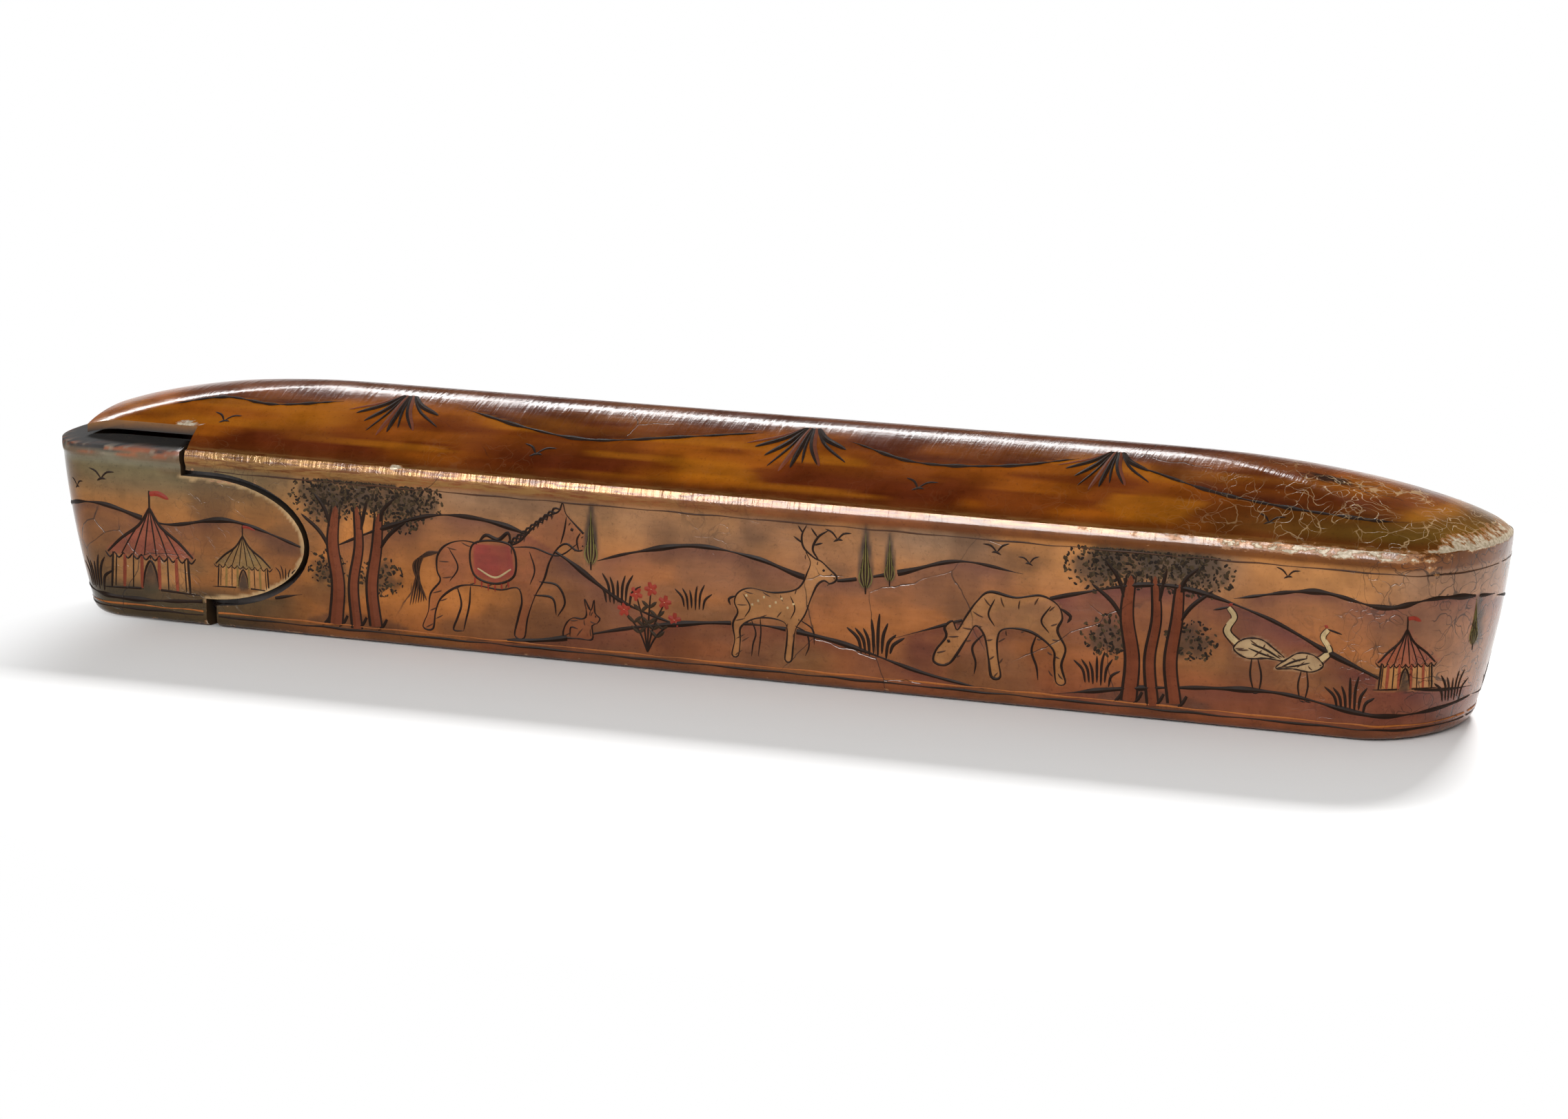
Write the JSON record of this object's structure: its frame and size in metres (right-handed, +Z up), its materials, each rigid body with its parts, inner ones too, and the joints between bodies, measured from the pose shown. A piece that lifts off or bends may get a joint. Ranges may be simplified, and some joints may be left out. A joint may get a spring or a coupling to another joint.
{
  "type": "qalamdan pen box",
  "caption": "Lacquered papier-mache pen box with a vaulted case, rounded leaning ends and a sliding tray that holds an inkwell, reed pens and tools.",
  "frame": {"origin": "middle of the underside, on the plane that the box rests on", "axes": "+X along the box to its closed end, -X to the tray's head; -Y is the painted front; +Z up through the vault"},
  "size_m": [0.231, 0.0338, 0.0367],
  "materials": {
    "lacquer_case": "painted, yellowed gloss varnish",
    "lacquer_head": "painted, yellowed gloss varnish",
    "tray_lacquer": "plain dark red lacquer",
    "brass_sheet": "worn, hand-beaten",
    "inked_silk": "matt, soaked with ink",
    "reed": "smooth, browned",
    "bone": "polished, yellowed",
    "steel": "ground, slightly stained"
  },
  "bodies": {
    "case": {"case_shell": "lacquer_case"},
    "tray": {"tray_trough": "tray_lacquer", "tray_head": "lacquer_head", "tray_partition": "tray_lacquer", "inkwell_cup": "brass_sheet", "inkwell_cover": "brass_sheet", "inkwell_pin": "brass_sheet", "silk_wad": "inked_silk", "reed_pen_broad": "reed", "reed_pen_medium": "reed", "reed_pen_fine": "reed", "penknife_handle": "bone", "penknife_ferrule": "brass_sheet", "penknife_blade": "steel", "nib_rest": "bone", "ink_spoon": "brass_sheet"},
    "lid": {"inkwell_lid": "brass_sheet"}
  },
  "joints": [
    {"name": "tray_slide", "type": "slide", "parent": "case", "child": "tray", "axis": [-1, 0, 0], "range_m": [0, 0.165]},
    {"name": "lid_hinge", "type": "hinge", "parent": "tray", "child": "lid", "pos_m": [-0.07473, 0, 0.019], "axis": [0, 1, 0], "range_deg": [0, 100]}
  ]
}
